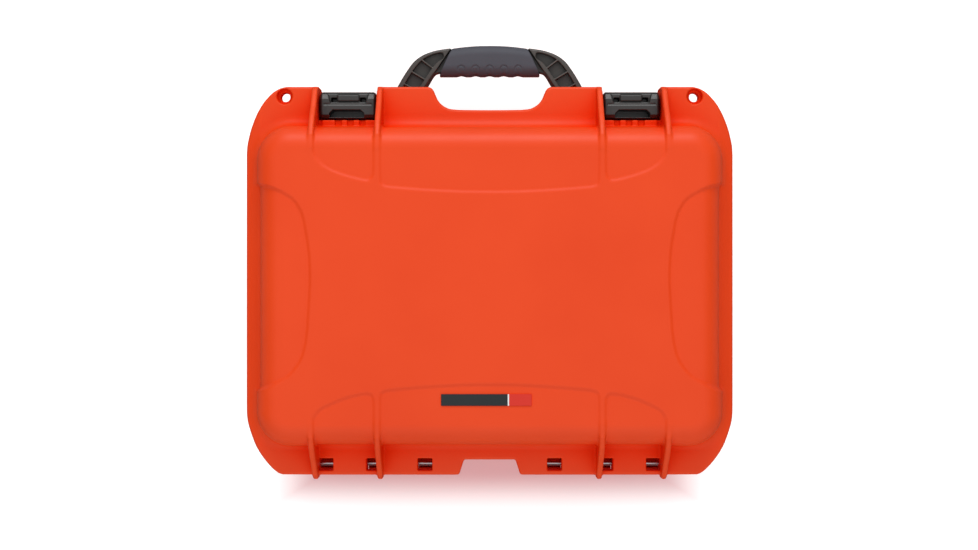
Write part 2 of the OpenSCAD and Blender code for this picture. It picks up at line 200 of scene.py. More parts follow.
def surface_nets(values, low, cell):
    """One vertex for each mixed cell, one quad for each crossed grid edge."""
    inside = values < 0
    shape = values.shape
    count = np.zeros(tuple(k - 1 for k in shape), np.int8)
    corners = [(i, j, k) for i in (0, 1) for j in (0, 1) for k in (0, 1)]
    for i, j, k in corners:
        count += inside[i:shape[0] - 1 + i, j:shape[1] - 1 + j, k:shape[2] - 1 + k]
    cells = np.argwhere((count > 0) & (count < 8)).astype(np.int32)
    number = np.full(count.shape, -1, np.int32)
    number[tuple(cells.T)] = np.arange(len(cells))

    # a vertex is the mean of the crossings on its cell's edges
    total = np.zeros((len(cells), 3))
    crossings = np.zeros(len(cells))
    at_corner = {c: values[tuple((cells + c).T)].astype(float) for c in corners}
    for start in corners:
        for k in range(3):
            if start[k]:
                continue
            end = list(start)
            end[k] = 1
            first, second = at_corner[start], at_corner[tuple(end)]
            crossed = (first < 0) != (second < 0)
            point = np.array(start, float)[None].repeat(len(cells), 0)
            point[:, k] = np.where(crossed, first / np.where(crossed, first - second, 1), 0)
            total += point * crossed[:, None]
            crossings += crossed
    verts = low + cell * (cells + total / crossings[:, None])

    quads = []
    for k in range(3):
        lower, upper = [slice(None)] * 3, [slice(None)] * 3
        lower[k], upper[k] = slice(0, -1), slice(1, None)
        edges = np.argwhere(inside[tuple(lower)] != inside[tuple(upper)])
        m, n = (k + 1) % 3, (k + 2) % 3
        edges = edges[(edges[:, m] > 0) & (edges[:, n] > 0)
                      & (edges[:, m] < shape[m] - 1) & (edges[:, n] < shape[n] - 1)]
        flip = ~inside[tuple(edges.T)]
        ring = []
        for back_m, back_n in ((1, 1), (0, 1), (0, 0), (1, 0)):
            around = edges.copy()
            around[:, m] -= back_m
            around[:, n] -= back_n
            ring.append(number[tuple(around.T)])
        ring = np.stack(ring, 1)
        ring[flip] = ring[flip][:, ::-1]
        quads.append(ring)
    return verts, np.concatenate(quads)


def gradient(field, points, reach):
    slope = np.empty_like(points)
    for k in range(3):
        ahead, behind = points.copy(), points.copy()
        ahead[:, k] += reach
        behind[:, k] -= reach
        slope[:, k] = (field(*ahead.T) - field(*behind.T)) / (2 * reach)
    return slope


def settle(field, points, cell):
    """Two Newton steps onto the surface, each kept under half a cell."""
    for _ in range(2):
        slope = gradient(field, points, reach=0.12)
        square = np.maximum((slope * slope).sum(1), 0.15)
        move = -(field(*points.T) / square)[:, None] * slope
        size = np.linalg.norm(move, axis=1)
        points = points + move * np.minimum(1, 0.45 * cell / np.maximum(size, 1e-9))[:, None]
    return points


def read_coords(mesh):
    coords = np.empty(len(mesh.vertices) * 3, np.float32)
    mesh.vertices.foreach_get("co", coords)
    return coords.reshape(-1, 3)


def write_coords(mesh, coords):
    mesh.vertices.foreach_set("co", coords.astype(np.float32).ravel())


def raw_mesh(name, verts, quads):
    mesh = bpy.data.meshes.new(name)
    mesh.vertices.add(len(verts))
    write_coords(mesh, verts / 1000)
    mesh.loops.add(quads.size)
    mesh.loops.foreach_set("vertex_index", quads.astype(np.int32).ravel())
    mesh.polygons.add(len(quads))
    starts = np.arange(0, quads.size, quads.shape[1], dtype=np.int32)
    mesh.polygons.foreach_set("loop_start", starts)
    mesh.update(calc_edges=True)
    mesh.validate()
    return mesh


def shade(mesh, field, flip_x=False):
    """Smooth shading, with normals read from the field."""
    points = read_coords(mesh).astype(float) * 1000
    if flip_x:
        points[:, 0] *= -1
    normals = gradient(field, points, reach=0.2)
    normals /= np.maximum(np.linalg.norm(normals, axis=1), 1e-9)[:, None]
    if flip_x:
        normals[:, 0] *= -1
    mesh.polygons.foreach_set("use_smooth", np.ones(len(mesh.polygons), bool))
    mesh.normals_split_custom_set_from_vertices(normals.tolist())


def add_object(name, mesh):
    ob = bpy.data.objects.new(name, mesh)
    bpy.context.scene.collection.objects.link(ob)
    return ob


def carve(name, field, low, high, cell, ratio, mirror=False):
    """An object from the field, thinned to ratio. mirror samples x > 0 only, and reflects it."""
    if mirror:
        low = (cell / 2, low[1], low[2])
    values, origin = sample(field, low, high, cell)
    if mirror:
        values = np.concatenate([values[::-1], values], 0)
        left = -origin[0] - (values.shape[0] // 2 - 1) * cell
        origin = np.array([left, origin[1], origin[2]])
    verts, quads = surface_nets(values, origin, cell)
    dense = raw_mesh(name, settle(field, verts, cell), quads)
    ob = add_object(name, dense)
    ob.modifiers.new("thin", "DECIMATE").ratio = ratio
    depsgraph = bpy.context.evaluated_depsgraph_get()
    mesh = bpy.data.meshes.new_from_object(ob.evaluated_get(depsgraph))
    ob.modifiers.clear()
    ob.data = mesh
    bpy.data.meshes.remove(dense)
    mesh.name = name
    # thinning can push a vertex a little out, so every vertex is clipped to the CAD's box
    box_low, box_high = (np.array(list(corner)) for corner in CAD_BOX)
    write_coords(mesh, np.clip(read_coords(mesh), box_low, box_high))
    shade(mesh, field)
    return ob


def twin(ob, name, field):
    """A mirror-image copy across x = 0."""
    mesh = ob.data.copy()
    mesh.name = name
    coords = read_coords(mesh)
    coords[:, 0] *= -1
    write_coords(mesh, coords)
    mesh.flip_normals()
    copy = add_object(name, mesh)
    shade(mesh, field, flip_x=True)
    return copy


# ---------------------------------------------------------------- driving dimensions (mm)
PARTING = 124.0                # height of the plane between base and lid
LID_TOP = 173.0
FRONT, BACK = -170.8, 166.5    # y of the flange edges
RIB_FRONT = -170.0
UNDER, OVER = PARTING - 60, PARTING + 60   # clear of the parting plane

BODY = (200, -136, 140)        # shell outside: half width, front y, back y
CAVITY = (194, -132, 136)      # shell inside, likewise
RIBS = (95.0, 151.0)           # |x| of the big ribs
RIB_HALF = 2.5
LATCH_BAY = (97.6, 148.4)      # x span
CATCH_BLOCKS = ((98.5, 107.8), (112.7, 118.1), (123.2, 128.4), (133.9, 145.1))
HINGE_WINDOWS = ((50, 62.5), (97.4, 107), (136, 148.4))
KNUCKLES = ((62.75, 79.6), (107.25, 121.6))
KNUCKLE_GAPS = ((62.65, 80), (107.15, 122))

# axes along x, as (y, z), and the radii of their bores
HINGE_Y, HINGE_Z = HINGE = (158.5, 118.6)
HANDLE_PIVOT = (-152.0, 102.0)
CLAW_PIVOT = (-150, 82)
LEVER_Z = PARTING - 8
LEVER_PIVOT = (-160.5, LEVER_Z)
BARREL_RADIUS = 5.2            # round the hinge pin
HINGE_BORE, HANDLE_BORE, CLAW_BORE, LEVER_BORE = 2.1, 3.06, 2.56, 1.56

EYE = (178.1, -162.3)          # padlock eye, (x, y)
EYE_HOLE, EYE_WELL = 4.1, 6.6  # radii

# ---------------------------------------------------------------- shell outlines, (|x|, y)
FLANGE = soften([
    (-40, FRONT), (177.2, FRONT), (183, -169.3), (189.5, -165.2), (197, -156.8),
    (203.6, -145.4), (208.4, -133.2), (211.4, -120.8), (212, -112.8), (212, -104), (212, 106),
    (211.9, 114), (210.9, 121.4), (208.3, 129.6), (204.1, 140.3), (199, 148.7),
    (193.4, 156.1), (187.8, 161.9), (183.4, 165.3), (179, BACK), (-40, BACK),
], keep=(0, 1, 9, 10, 20))
HANDLE_GAP = soften([
    (-40, -190), (50.2, -190), (50.2, FRONT), (48.1, -166.2), (45.5, -159.9), (43.3, -156.8),
    (40.2, -154.1), (35, -151.5), (25, -150.7), (-40, -150.4),
], keep=(0, 1, 2, 9))
BACK_NOTCH = [(-40, 155.5), (20.7, 155.5), (26, 172), (-40, 172)]

# sunk panels of the top and bottom faces
FACE_PANELS = (
    # middle, front
    soften([(-40, -150), (92, -150), (92, -87.5), (91, -83.6), (87, -81.6), (76, -80.7),
            (60, -79.4), (40, -78.2), (20, -77.4), (-40, -77.2)], keep=(0, 1, 9)),
    # middle, back
    soften([(-40, 156), (92, 156), (92, 96), (91, 92.2), (87, 90.1), (76, 89), (60, 87.7),
            (40, 86.3), (20, 85.3), (-40, 85.1)], keep=(0, 1, 9)),
    # between the ribs, front
    soften([(148.6, -156), (148.6, -119), (148.4, -111), (146.4, -106.3), (141.6, -100.7),
            (133.6, -95.5), (121.5, -91.1), (109.4, -87.9), (102.2, -86.7), (99, -89.5),
            (97.8, -94.2), (97.6, -156)], keep=(0, 11)),
    # between the ribs, back
    soften([(148.6, 160), (148.5, 120), (148.2, 112.9), (143.1, 106.1), (134.5, 101.9),
            (124.4, 97.5), (111.3, 93.7), (101, 92.5), (98, 95.9), (97.6, 103),
            (97.6, 160)], keep=(0, 10)),
)
END_PANEL = soften([
    (240, -88), (201, -84.6), (193.8, -83.2), (185, -81.2), (176.4, -77.9), (164.4, -70.6),
    (157.1, -58.1), (152, -27.3), (151.2, -10), (151.3, 3.1), (153.9, 46), (158.1, 63.4),
    (167.7, 76.9), (180.3, 84.1), (192.8, 89), (201, 91.5), (240, 96),
], keep=(0, 16))


def back_notch(x, y):
    return polygon(x, y, BACK_NOTCH) - 2.2


def flange_field(x, y):
    plate = cut(polygon(x, y, FLANGE), polygon(x, y, HANDLE_GAP), 4)
    return cut(plate, back_notch(x, y), 2)


def panel_depth(x, y):
    """How deep the panels are sunk; the end panel deepens outwards."""
    face = np.minimum.reduce([polygon(x, y, panel) for panel in FACE_PANELS])
    end_depth = 1.4 + 1.6 * fade(172, 192, x)
    end = polygon(x, y, END_PANEL)
    return 1.2 * fade(2.2, -1.8, face) + end_depth * fade(2.1, -1.9, end)


flange_outline = Lookup(flange_field)
panel_sink = Lookup(panel_depth)

# ---------------------------------------------------------------- rib profiles, (y, z)
LID_RIB_FRONT = [
    (RIB_FRONT, PARTING + 0.2), (RIB_FRONT, PARTING + 13.6), (-167, PARTING + 18.2),
    (-152, PARTING + 29.5), (-143, PARTING + 37.5), (-135, PARTING + 43.2),
    (-126, PARTING + 47.2), (-114, LID_TOP - 0.5), (-104, LID_TOP - 3.5),
    (-100, LID_TOP - 9), (-127, PARTING)]
LID_RIB_BACK = [
    (170, PARTING + 1.6), (170, PARTING + 10.6), (167, PARTING + 16.2), (155, PARTING + 27.5),
    (147, PARTING + 36.5), (139, PARTING + 43), (130, PARTING + 47.2), (118, LID_TOP - 0.5),
    (108, LID_TOP - 3.5), (104, LID_TOP - 9), (131, PARTING), (166.4, PARTING)]
BASE_RIB_FRONT = [
    (-130, 40), (-137, 44), (-144, 51), (-158, 67), (-167, 86), (RIB_FRONT, 95),
    (RIB_FRONT, 123.8), (-130, 123.8)]
BASE_RIB_BACK = [
    (134, 15), (142, 16), (152, 21), (164, 32), (170, 44), (170, 87), (167, 92),
    (160, 95.5), (134, 97)]
LID_RIBS = (outline_lookup(LID_RIB_FRONT, -180, -90, 110, 180),
            outline_lookup(LID_RIB_BACK, 95, 180, 110, 180))
BASE_RIBS = (outline_lookup(BASE_RIB_FRONT, -180, -120, 10, 135),
             outline_lookup(BASE_RIB_BACK, 125, 180, 0, 120))


def add_ribs(solid, x, y, z, profiles, edge, fillet):
    for middle in RIBS:
        for profile in profiles:
            rib = extrude(profile(y, z), x, middle - RIB_HALF, middle + RIB_HALF, edge)
            solid = join(solid, rib, fillet)
    return solid


# ---------------------------------------------------------------- lid and base
def lid_field(x, y, z):
    x = np.abs(x)
    lean = np.maximum(z - (PARTING + 11), 0) * 0.075
    sink = panel_sink(x, y)
    solid = (extrude(round_rect(x, y, *BODY, 31) + lean, z, UNDER, LID_TOP, 19)
             + sink * fade(PARTING + 9, PARTING + 15, z))
    # the flange falls away a little towards the ends
    fall = 4.0 * np.clip((x - 199.5) / 12.5, 0, 1) ** 1.15
    flange = extrude(flange_outline(x, y), z + fall, UNDER, PARTING + 11, 2.4)
    # soft foot, tighter at the back
    soft = 11 - 5.5 * fade(120, 140, y) * fade(196, 170, x)
    solid = join(solid, flange, soft)
    solid = add_ribs(solid, x, y, z, LID_RIBS, edge=1.9, fillet=2.0)
    # claw notch, with the catch blocks behind it
    notch = box(x, y, z, *LATCH_BAY, -190, -136.6, PARTING + 11.2, PARTING + 17, 0.6)
    solid = cut(solid, notch, 0.8)
    for x0, x1 in CATCH_BLOCKS:
        block = box(x, y, z, x0, x1, -141.4, -130, PARTING + 4, PARTING + 15, 1.1)
        solid = join(solid, block, 1.0)
    bay = box(x, y, z, *LATCH_BAY, -190, -141.8, PARTING - 9, PARTING + 17, 0.2)
    solid = cut(solid, bay, 0.8)
    # padlock eye in its round well
    eye = rod(x, y, EYE, 0)
    solid = cut(solid, np.maximum(eye - EYE_WELL, PARTING + 5 - z), 1.8)
    solid = cut(solid, eye - EYE_HOLE, 0.7)
    # windows over the hinge pins, and the knuckles
    for x0, x1 in HINGE_WINDOWS:
        window = box(x, y, z, x0, x1, 152, 162.5, PARTING - 9, PARTING + 20, 0.8)
        solid = cut(solid, window, 1.0)
    for x0, x1 in KNUCKLES:
        barrel = extrude(rod(y, z, HINGE, BARREL_RADIUS), x, x0, x1, 0.6)
        neck = box(x, y, z, x0, x1, HINGE_Y - 4.9, HINGE_Y + 4.9, HINGE_Z, PARTING + 3, 0.5)
        solid = np.minimum(solid, np.minimum(barrel, neck))
    solid = cut(solid, np.maximum(rod(y, z, HINGE, HINGE_BORE), z - PARTING + 0.1), 0.3)
    # hollow
    hollow = (extrude(round_rect(x, y, *CAVITY, 25), z, UNDER, LID_TOP - 4, 15)
              + sink * fade(PARTING + 7, PARTING + 13, z) + lean)
    solid = cut(solid, hollow, 1.0)
    # groove round the rim, open below
    ring = np.abs(round_rect(x, y, 203.4, -138.4, 142.4, 27.4)) - 1.6
    solid = cut(solid, np.maximum(ring, z - PARTING - 3.4), 0.4)
    # pockets under the flange, either side of the latch: x span, edge radius
    for x0, x1 in ((56, 88), (156, 166)):
        pocket = box(x, y, z, x0, x1, -166, -145, PARTING - 12, PARTING + 7, 1.5)
        solid = cut(solid, pocket, 0.8)
    # underside: flat, but the knuckles hang below it
    floor = PARTING + 0.2 - z
    hang = 99.0
    for x0, x1 in KNUCKLES:
        room = box(x, y, z, x0, x1, HINGE_Y - 6, HINGE_Y + 6, HINGE_Z - 6, PARTING + 4, 0)
        hang = np.minimum(hang, room)
    return meet(solid, np.minimum(floor, hang), 0.6)


def base_field(x, y, z):
    x = np.abs(x)
    lean = np.maximum(74 - z, 0) * 0.025
    wall_band = fade(10, 15, z) * fade(PARTING - 11, PARTING - 17, z)
    solid = extrude(round_rect(x, y, *BODY, 26) + lean, z, 0, OVER, 14)
    sink = panel_sink(x, y) * np.maximum(wall_band, fade(12, 6, z) * 0.8)
    solid = solid + sink
    # flange, ending in the hinge barrel at the back
    flange = extrude(flange_outline(x, y), z, PARTING - 11, OVER, 1.3)
    barrel = extrude(rod(y, z, HINGE, BARREL_RADIUS), x, 22, 183, 0.6)
    flange = np.minimum(np.maximum(flange, y - HINGE_Y), barrel)
    flange = cut(flange, back_notch(x, y), 1.0)
    solid = join(solid, flange, 5)
    ledge = box(x, y, z, 44, 156, 137, 161, PARTING - 14.5, PARTING - 10.7, 1.0)
    solid = join(solid, ledge, 1.5)
    solid = add_ribs(solid, x, y, z, BASE_RIBS, edge=1.3, fillet=2.2)
    # small uprights: three on the back wall, one on the front
    for middle in (60, 120, 180):
        upright = box(x, y, z, middle - 2, middle + 2, 130, 143, 18, PARTING - 12, 1.2)
        solid = join(solid, upright, 2.0)
    solid = join(solid, box(x, y, z, 176, 180, -139, -130, 18, PARTING - 10, 1.2), 2.0)
    # latch bay, gaps for the knuckles, and troughs round the pins under the windows
    bay = box(x, y, z, *LATCH_BAY, -190, -142.5, PARTING - 15, PARTING + 70, 0.3)
    solid = cut(solid, bay, 0.8)
    for x0, x1 in KNUCKLE_GAPS:
        gap = box(x, y, z, x0, x1, 152.6, 180, PARTING - 11.5, PARTING + 70, 0.5)
        solid = cut(solid, gap, 0.6)
    for x0, x1 in HINGE_WINDOWS:
        window = box(x, y, z, x0, x1, 152.6, 180, HINGE_Z, PARTING + 70, 0.3)
        solid = cut(solid, window, 0.4)
        solid = cut(solid, extrude(rod(y, z, HINGE, 4.2), x, x0, x1, 0.3), 0.4)
    solid = cut(solid, extrude(rod(y, z, HINGE, HINGE_BORE), x, 46, 153.5, 0.2), 0.3)
    # padlock eye, relieved from below
    eye = rod(x, y, EYE, 0)
    solid = cut(solid, np.maximum(eye - EYE_HOLE, PARTING - 20 - z), 0.6)
    relief = np.maximum(np.maximum(eye - EYE_WELL, z - PARTING + 5), PARTING - 20 - z)
    solid = cut(solid, relief, 0.8)
    # bores for the claw and handle pins
    solid = cut(solid, extrude(rod(y, z, CLAW_PIVOT, CLAW_BORE), x, 88, 154, 0.1), 0.3)
    solid = cut(solid, extrude(rod(y, z, HANDLE_PIVOT, HANDLE_BORE), x, 92, 98, 0.1), 0.3)
    # pockets under the flange, either side of the latch
    for x0, x1 in ((56, 90), (156, 166)):
        pocket = box(x, y, z, x0, x1, -166, -145, PARTING - 20, PARTING - 4, 1.2)
        solid = cut(solid, pocket, 0.8)
    # round hole in the middle of the front wall
    solid = cut(solid, extrude(rod(x, z, (0, 92), 8), y, -145, -120, 0.1), 0.3)
    hollow = extrude(round_rect(x, y, *CAVITY, 20), z, 4, OVER, 10) + sink + lean
    solid = cut(solid, hollow, 1.0)
    return meet(solid, z - (PARTING - 0.2), 0.8)


# ---------------------------------------------------------------- handle, outlines (|x|, y)
HANDLE = [
    (-20, -209.4), (0, -209.4), (20.4, -209.1), (30, -208.6), (37.8, -207.8), (48, -206.2),
    (56.6, -203.4), (62.8, -200.0), (68.2, -195.4), (75.3, -185.2), (82.2, -173.2),
    (87.6, -162), (91.4, -151.7), (70, -151.7), (64.5, -161), (55.8, -174), (48.8, -186.2),
    (43, -187.4), (30, -187.4), (-20, -187.4)]
ARM_POCKET = [
    (41.5, -204.6), (49.4, -203), (56.2, -200.2), (61.2, -196.6), (66.6, -190.4),
    (73.3, -180), (79.4, -168.4), (83, -160), (70.5, -160), (64.8, -168.8), (58.2, -179.6),
    (51.3, -190.2), (46.6, -195.6), (40.4, -199.4)]
# thin bars left standing across the pocket: start, end
POCKET_BARS = (((62.6, -199.6), (48.4, -188.8)), ((71.0, -188.4), (54.2, -178.4)),
               ((78.8, -178), (61.3, -168.9)))
GRIP_SLEEVE = [(-20, -211), (0, -211), (20.4, -210.1), (33.4, -208.5), (44.7, -184), (-20, -184)]

handle_softened = soften(soften(HANDLE, keep=(0, 12, 13, 19)), keep=(0, 23, 24, 36))
handle_outline = outline_lookup(handle_softened, -6, 100, -218, -135)
pocket_outline = outline_lookup(soften(ARM_POCKET), -6, 100, -218, -135)
sleeve_outline = outline_lookup(GRIP_SLEEVE, -6, 60, -218, -165)


def handle_field(x, y, z):
    x = np.abs(x)
    height = z - HANDLE_PIVOT[1]
    outline = handle_outline(x, y)
    solid = extrude(outline, height, -10, 10, 2.2)
    # the arms narrow to a flat web beside the grip
    web = meet(outline, (x - 36.2 - (y + 204.6) * 0.68) * 0.83, 1) - 0.2
    solid = cut(solid, np.maximum(web, 5 - np.abs(height)), 1.0)
    # round bosses on the pivot
    boss = extrude(rod(y, z, HANDLE_PIVOT, 10), x, 69, 91.6, 1.0)
    solid = join(np.maximum(solid, y + 151.6), boss, 1.5)
    pocket = pocket_outline(x, y)
    for start, end in POCKET_BARS:
        pocket = np.maximum(pocket, -capsule(x, y, start, end, 0.75))
    solid = cut(solid, np.maximum(pocket, 4.2 - np.abs(height)), 0.8)
    # waist under the grip
    core = extrude(round_rect(x, y + 196.5, 60, -7.5, 7.5, 2), height, -6.5, 6.5, 2)
    solid = np.maximum(solid, -np.maximum(sleeve_outline(x, y) - 0.05, -core))
    return cut(solid, rod(y, z, HANDLE_PIVOT, HANDLE_BORE), 0.3)


def grip_field(x, y, z):
    x = np.abs(x)
    height = z - HANDLE_PIVOT[1]
    # the long edges are rolled, the ends are cut square to the arm
    bow = -211.0 + 2.5 * (np.minimum(x, 60) / 33.4) ** 2.2
    bar = extrude(np.maximum(bow - y, y + 184.0), height, -12, 12, 9)
    end = (x - 33.4 - (y + 208.5) * 11.3 / 24.5) * 0.913
    solid = meet(bar, end, 1.0)
    for middle in (0, 12.6, 25.2):
        # finger notches on the side towards the case, each with a faint arch round it
        solid = cut(solid, rod(x, y, (middle, -181.2), 3.9), 1.6)
        arch = np.abs(capsule(x, y, (middle, -184), (middle, -189.6), 0) - 2.6) - 0.5
        depth = 11.3 - np.abs(height) - 0.9 * fade(-191, -186, y)
        solid = cut(solid, np.maximum(arch, depth), 1.0)
    # channel for the handle's waist
    return np.maximum(solid, -box(x, y, height, -80, 80, -204.05, -188.95, -6.55, 6.55, 2))


# ---------------------------------------------------------------- right latch, profiles (y, z)
LATCH_MIDDLE = 123
CLAW_X = (98.2, 147.8)
LEVER_X = (103, 143)           # the lever's barrel and neck
CLAW_ARM = [(-155.3, 80), (-155.3, PARTING + 4), (-148.5, PARTING + 4), (-146.5, 100), (-145, 82)]
CLAW_HEAD = [
    (-165, PARTING + 2), (-166, PARTING + 4), (-166, PARTING + 10), (-164, PARTING + 13.6),
    (-159.6, PARTING + 15.9), (-146, PARTING + 15.9), (-143.2, PARTING + 13.6),
    (-142.1, PARTING + 9), (-142.1, PARTING + 0.9), (-147, PARTING + 0.9),
    (-148.6, PARTING - 0.9), (-156, PARTING - 0.9), (-157, PARTING + 2)]
CLAW_CHEEK = [(-154, PARTING - 18), (-161, PARTING - 13.4), (-165, PARTING - 10),
              (-165, PARTING + 3), (-154, PARTING + 3)]
CLAW_WELL = [(112, -149.9), (135.6, -149.9), (138.6, -147), (138.6, -144), (108.9, -144),
             (108.9, -147)]    # seen from above, (x, y)
LEVER_PLATE = [
    (-163.2, LEVER_Z - 9.5), (-166.2, LEVER_Z - 8.8), (-167.1, LEVER_Z - 13),
    (-167.1, LEVER_Z - 39), (-167.8, LEVER_Z - 41.8), (-169.2, LEVER_Z - 44.8),
    (-169.2, LEVER_Z - 46.6), (-167.6, LEVER_Z - 46), (-165, LEVER_Z - 43.6),
    (-162.7, LEVER_Z - 39.5), (-162.7, LEVER_Z - 12)]
LEVER_NECK = [(-164.3, LEVER_Z), (-166.9, LEVER_Z - 8), (-166.9, LEVER_Z - 13),
              (-163, LEVER_Z - 13), (-162.5, LEVER_Z - 9), (-158, LEVER_Z - 1)]


def claw_field(x, y, z):
    solid = extrude(polygon(y, z, CLAW_ARM), x, *CLAW_X, 1.4)
    solid = join(solid, extrude(rod(y, z, CLAW_PIVOT, 6), x, *CLAW_X, 1.0), 1.5)
    head = extrude(polygon(y, z, CLAW_HEAD), x, 98.4, 147.2, 2.8)
    # sunk front field between the two end lobes, with a raised middle
    sunk = meet(np.abs(x - 122.6) - 15.2 + (y + 156.2) * 0.22, y + 156.2, 1.2)
    head = cut(head, np.maximum(sunk, PARTING + 13.2 - z), 1.8)
    raised = box(x, y, z, 112.8, 132.0, -163.4, -157.6, PARTING + 8, PARTING + 14.7, 1.5)
    head = join(head, raised, 1.0)
    # a groove across the crown
    groove = extrude(rod(y, z, (-154.9, PARTING + 16.5), 1.2), x, 101.5, 144.1, 1.0)
    head = cut(head, groove, 0.5)
    solid = join(solid, head, 1.6)
    for x0, x1 in ((98.2, 102.6), (143.4, 147.8)):
        solid = join(solid, extrude(polygon(y, z, CLAW_CHEEK), x, x0, x1, 0.9), 1.0)
    # deep well with cut corners, behind it a thin bar
    well = polygon(x, y, CLAW_WELL) - 0.2
    solid = cut(solid, np.maximum(well, PARTING + 3 - z), 0.8)
    # pockets either side of the raised middle
    for middle in (109.8, 134.9):
        pocket = box(x, y, z, middle - 2.5, middle + 2.5, -160.9, -157,
                     PARTING + 5, PARTING + 30, 1.0)
        solid = cut(solid, pocket, 0.7)
    # window behind the lever
    solid = cut(solid, box(x, y, z, 108, 138, -170, -130, 94, PARTING - 12, 3), 1.0)
    solid = cut(solid, rod(y, z, CLAW_PIVOT, CLAW_BORE), 0.3)
    return cut(solid, extrude(rod(y, z, LEVER_PIVOT, LEVER_BORE), x, 99.6, 146.4, 0.1), 0.3)


def lever_field(x, y, z):
    solid = extrude(rod(y, z, LEVER_PIVOT, 4), x, *LEVER_X, 0.8)
    solid = join(solid, extrude(polygon(y, z, LEVER_NECK), x, *LEVER_X, 0.5), 1.0)
    plate = extrude(polygon(y, z, LEVER_PLATE), x, 98.8, 147.2, 1.0)
    across = x - LATCH_MIDDLE
    sides = round_rect(across, z - (LEVER_Z - 28), 24.2, -19.2, 19.6, 4.5)
    solid = join(solid, meet(plate, sides, 1.0), 0.8)
    # sunk field, and two finger grooves above the lip
    sunk = round_rect(across, z - (LEVER_Z - 21), 19.5, -2, 8.6, 2.6)
    solid = cut(solid, np.maximum(sunk, y + 166.2), 0.6)
    for drop in (0, 2.3):
        groove = rod(y, z, (-167.8, LEVER_Z - 37.6 - drop), 0.9)
        solid = cut(solid, extrude(groove, x, 104, 142, 0.6), 0.4)
    # recess and slot for the slide
    recess = box(x, y, z, 111, 135, -180, -165.2, LEVER_Z - 35, LEVER_Z - 25, 0.6)
    slot = box(x, y, z, 111, 135, -166, -150, LEVER_Z - 33, LEVER_Z - 27, 0.4)
    solid = cut(cut(solid, recess, 0.4), slot, 0.4)
    return cut(solid, rod(y, z, LEVER_PIVOT, LEVER_BORE), 0.3)


def slide_field(x, y, z):
    """A button, a stem through the lever's slot, and a foot behind it."""
    button = box(x, y, z, 111.4, 123.2, -167.5, -165.25, LEVER_Z - 34.8, LEVER_Z - 25.2, 0.7)
    stem = box(x, y, z, 112, 122.6, -165.9, -161.4, LEVER_Z - 32.8, LEVER_Z - 27.2, 0.3)
    foot = box(x, y, z, 112, 122.6, -162.35, -161, LEVER_Z - 34.8, LEVER_Z - 25.2, 0.4)
    solid = np.minimum(np.minimum(button, stem), foot)
    for k in range(4):
        groove = box(x, y, z, 113.6 + 2.3 * k, 114.6 + 2.3 * k, -170, -166.9,
                     LEVER_Z - 33.4, LEVER_Z - 26.6, 0.3)
        solid = cut(solid, groove, 0.3)
    return solid


# ---------------------------------------------------------------- shader building
class Shader:
    """Adds nodes to a tree. An input may be given a value or another node's output."""

    def __init__(self, owner):
        owner.use_nodes = True
        self.tree = owner.node_tree

    def feed(self, socket, value):
        if isinstance(value, bpy.types.NodeSocket):
            self.tree.links.new(value, socket)
        else:
            socket.default_value = value

    def add(self, kind, inputs=None, **settings):
        node = self.tree.nodes.new(kind)
        for key, value in settings.items():
            setattr(node, key, value)
        for key, value in (inputs or {}).items():
            self.feed(node.inputs[key], value)
        return node

    def remap(self, value, span, to=(0, 1), kind="LINEAR"):
        return self.add("ShaderNodeMapRange", {
            "From Min": span[0], "From Max": span[1], "To Min": to[0], "To Max": to[1],
            "Value": value}, interpolation_type=kind).outputs[0]

    def smooth(self, value, span, to=(0, 1)):
        return self.remap(value, span, to, "SMOOTHSTEP")

    def math(self, operation, first, second):
        return self.add("ShaderNodeMath", {0: first, 1: second}, operation=operation).outputs[0]

    def mix(self, share, first, second):
        inputs = {0: share, 6: first, 7: second}
        return self.add("ShaderNodeMix", inputs, data_type="RGBA").outputs[2]


def srgb(code):
    """Linear RGBA from "#RRGGBB"."""
    levels = [int(code[i:i + 2], 16) / 255 for i in (1, 3, 5)]
    return tuple(v / 12.92 if v <= 0.04045 else ((v + 0.055) / 1.055) ** 2.4 for v in levels) + (1,)


